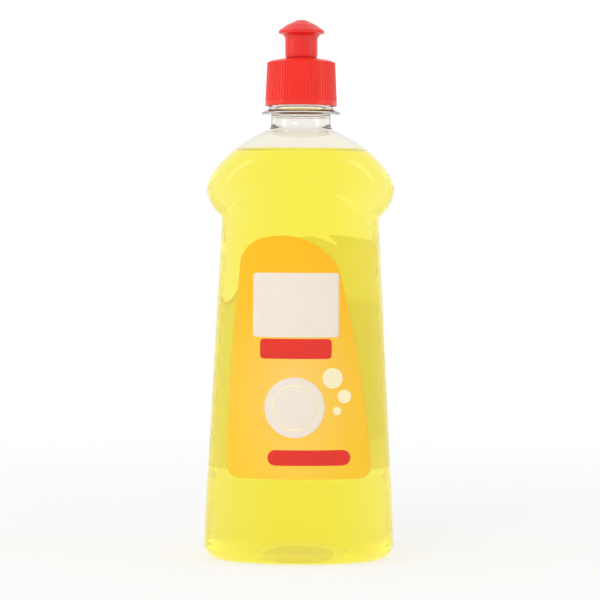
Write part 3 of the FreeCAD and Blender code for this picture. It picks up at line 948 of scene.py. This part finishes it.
class SOAPBOTTLE_OT_labels(bpy.types.Operator):
    """Makes the front and back label films and the print on them"""
    bl_idname = "soapbottle.labels"
    bl_label = "Make labels"

    def execute(self, context):
        sizes = context.scene.bottle_body
        label = context.scene.bottle_label
        finishes = context.scene.bottle_finishes
        gold = gold_finish(finishes)
        reverse = print_finish("label_reverse", finishes.reverse, glow=0.8)
        cream = print_finish("cream_print", finishes.cream)
        red = print_finish("red_print", finishes.red, 0.04)
        pale = print_finish("pale_print", finishes.pale)
        inner = clear_finish("print_underside", (0.93, 0.9, 0.84), 0.01, 160)
        outline = label_outline(sizes, label)
        for facing, node in ((-1, "front_label"), (1, "back_label")):
            film = wrapped_sheet(node + "_film", sizes, outline, 0.01 * MM, label.film,
                                 facing, "bottle", 90, 60)
            two_sided(film, gold, reverse)
            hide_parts(node)
        dish = (label.dish_across, label.dish_middle)
        well = label.dish_radius - label.dish_rim
        prints = [
            ("cream_plate", rounded_plate(label.plate_across, label.plate_middle,
                                          label.plate_width, label.plate_height, 1.2 * MM),
             1, cream),
            ("red_strip", rounded_plate(label.plate_across, label.strip_middle,
                                        label.strip_width, label.strip_height, 1.6 * MM),
             1, red),
            ("dish_rim", disc(*dish, label.dish_radius), 1, cream),
            ("dish_well", disc(*dish, well), 2, pale),
            ("dish_middle", disc(*dish, well - label.dish_groove), 3, cream),
        ]
        prints += [(name, disc(across * MM, up * MM, radius * MM), 1, pale)
                   for name, across, up, radius in BUBBLES]
        prints.append(("red_foot_plate", rounded_plate(
            label.foot_plate_across, label.foot_plate_middle, label.foot_plate_width,
            label.foot_plate_height, 3.1 * MM), 1, red))
        low = label.film - label.print_lift
        for name, shape, layer, finish in prints:
            high = label.film + label.print_lift * layer
            patch = wrapped_sheet("front_" + name, sizes, shape, low, high,
                                  -1, "bottle", 30, 26)
            two_sided(patch, finish, inner)
        middle = label.back_plate_middle
        left, right = outline_span(outline, middle + label.back_plate_height / 2)
        shape = rounded_plate((left + right) / 2, middle,
                              right - left - 2 * label.back_plate_margin,
                              label.back_plate_height, 2 * MM)
        patch = wrapped_sheet("back_cream_plate", sizes, shape, low,
                              label.film + label.print_lift, 1, "bottle", 40, 30)
        two_sided(patch, cream, inner)
        return {"FINISHED"}


class SOAPBOTTLE_OT_closure(bpy.types.Operator):
    """Gives the cap and the pull nozzle their moulded finish"""
    bl_idname = "soapbottle.closure"
    bl_label = "Finish cap and nozzle"

    def execute(self, context):
        finishes = context.scene.bottle_finishes
        for node, base, roughness in (("cap", finishes.cap, 0.3),
                                      ("pull_nozzle", finishes.nozzle, 0.34)):
            finish = moulded_finish(node + "_plastic", base, roughness)
            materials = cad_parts[node].data.materials
            materials.clear()
            materials.append(finish)
        return {"FINISHED"}


class SOAPBOTTLE_OT_stage(bpy.types.Operator):
    """Sets up floor, lamps, world and camera; the white world stands in for a backdrop"""
    bl_idname = "soapbottle.stage"
    bl_label = "Set up stage"

    def execute(self, context):
        self.floor(context.scene.bottle_finishes.floor)
        self.world()
        for values in LAMPS:
            self.lamp(*values)
        self.camera(context)
        context.scene.view_settings.view_transform = "Standard"
        return {"FINISHED"}

    def floor(self, tint):
        """A wide white floor that keeps the bottle's shadow and has no edge in sight."""
        build = bmesh.new()
        bmesh.ops.create_circle(build, cap_ends=True, segments=96, radius=6.0)
        mesh = bpy.data.meshes.new("floor")
        build.to_mesh(mesh)
        build.free()
        floor = bpy.data.objects.new("floor", mesh)
        bpy.context.scene.collection.objects.link(floor)
        shader = Shader("white_floor")
        shader.set(Base_Color=shader.tone(tint, 0.004, 3), Roughness=0.9, Specular_IOR_Level=0.1)
        far = shader.vector_math("LENGTH", shader.place())
        shade = shader.node("ShaderNodeMapRange", {
            "Value": (far, "Value"), "From Min": 0.15, "From Max": 0.6,
            "To Min": 0.45, "To Max": 0.0})
        white = shader.node("ShaderNodeEmission")
        seen = shader.blend((shade, "Result"), (white, "Emission"), shader.plain)
        path = shader.node("ShaderNodeLightPath")
        through = shader.math("MAXIMUM", (path, "Is Glossy Ray"), (path, "Is Transmission Ray"))
        looked_at = shader.math("MAXIMUM", (path, "Is Camera Ray"), through)
        shader.show(shader.blend(looked_at, shader.plain, seen))
        mesh.materials.append(shader.material)

    def world(self):
        """White all round, a little dimmer as a light than it looks."""
        world = bpy.data.worlds.new("studio")
        world.use_nodes = True
        bpy.context.scene.world = world
        nodes, links = world.node_tree.nodes, world.node_tree.links
        back = nodes["Background"]
        path = nodes.new("ShaderNodeLightPath")
        strength = nodes.new("ShaderNodeMapRange")
        strength.inputs["To Min"].default_value = 1.0
        strength.inputs["To Max"].default_value = 0.75
        links.new(path.outputs["Is Diffuse Ray"], strength.inputs["Value"])
        links.new(strength.outputs["Result"], back.inputs["Strength"])
        back.inputs["Color"].default_value = (1, 1, 1, 1)

    def lamp(self, name, place, width, height, power, mirrored):
        """A rectangular lamp that faces the bottle."""
        data = bpy.data.lights.new(name, "AREA")
        data.shape = "RECTANGLE"
        data.size, data.size_y = width, height
        data.energy = power
        lamp = bpy.data.objects.new(name, data)
        lamp.location = place
        lamp.visible_glossy = mirrored
        lamp.rotation_euler = (LAMP_AIM - lamp.location).to_track_quat("-Z", "Y").to_euler()
        bpy.context.scene.collection.objects.link(lamp)

    def camera(self, context):
        """Sets the camera at its place, turned a little about its own axis."""
        data = bpy.data.cameras.new("camera")
        data.sensor_width = 36
        data.lens = LENS
        camera = bpy.data.objects.new("camera", data)
        facing = (EYE_AIM - EYE).to_track_quat("-Z", "Y").to_matrix()
        roll = Matrix.Rotation(EYE_ROLL, 3, "Z")
        camera.matrix_world = Matrix.Translation(EYE) @ (facing @ roll).to_4x4()
        context.scene.collection.objects.link(camera)
        context.scene.camera = camera


class SOAPBOTTLE_PT_panel(bpy.types.Panel):
    """Lists the bottle's operators, sizes and colours"""
    bl_idname = "SOAPBOTTLE_PT_panel"
    bl_label = "Soap bottle"
    bl_space_type = "VIEW_3D"
    bl_region_type = "UI"
    bl_category = "Soap bottle"

    def draw(self, context):
        layout = self.layout
        for operator in OPERATORS:
            layout.operator(operator.bl_idname)
        for group in (context.scene.bottle_body, context.scene.bottle_label,
                      context.scene.bottle_finishes):
            column = layout.column()
            for name in group.bl_rna.properties.keys():
                if name not in ("rna_type", "name"):
                    column.prop(group, name)


OPERATORS = (SOAPBOTTLE_OT_shell, SOAPBOTTLE_OT_soap, SOAPBOTTLE_OT_labels,
             SOAPBOTTLE_OT_closure, SOAPBOTTLE_OT_stage)
GROUPS = {"bottle_body": BodySizes, "bottle_label": LabelSizes, "bottle_finishes": Finishes}


def register():
    for group in GROUPS.values():
        bpy.utils.register_class(group)
    for name, group in GROUPS.items():
        setattr(bpy.types.Scene, name, PointerProperty(type=group))
    for operator in OPERATORS:
        bpy.utils.register_class(operator)
    bpy.utils.register_class(SOAPBOTTLE_PT_panel)


def unregister():
    bpy.utils.unregister_class(SOAPBOTTLE_PT_panel)
    for operator in reversed(OPERATORS):
        bpy.utils.unregister_class(operator)
    for name, group in GROUPS.items():
        delattr(bpy.types.Scene, name)
        bpy.utils.unregister_class(group)


def main():
    register()
    bpy.ops.soapbottle.shell()
    bpy.ops.soapbottle.soap()
    bpy.ops.soapbottle.labels()
    bpy.ops.soapbottle.closure()
    bpy.ops.soapbottle.stage()


if __name__ == "__main__":
    main()
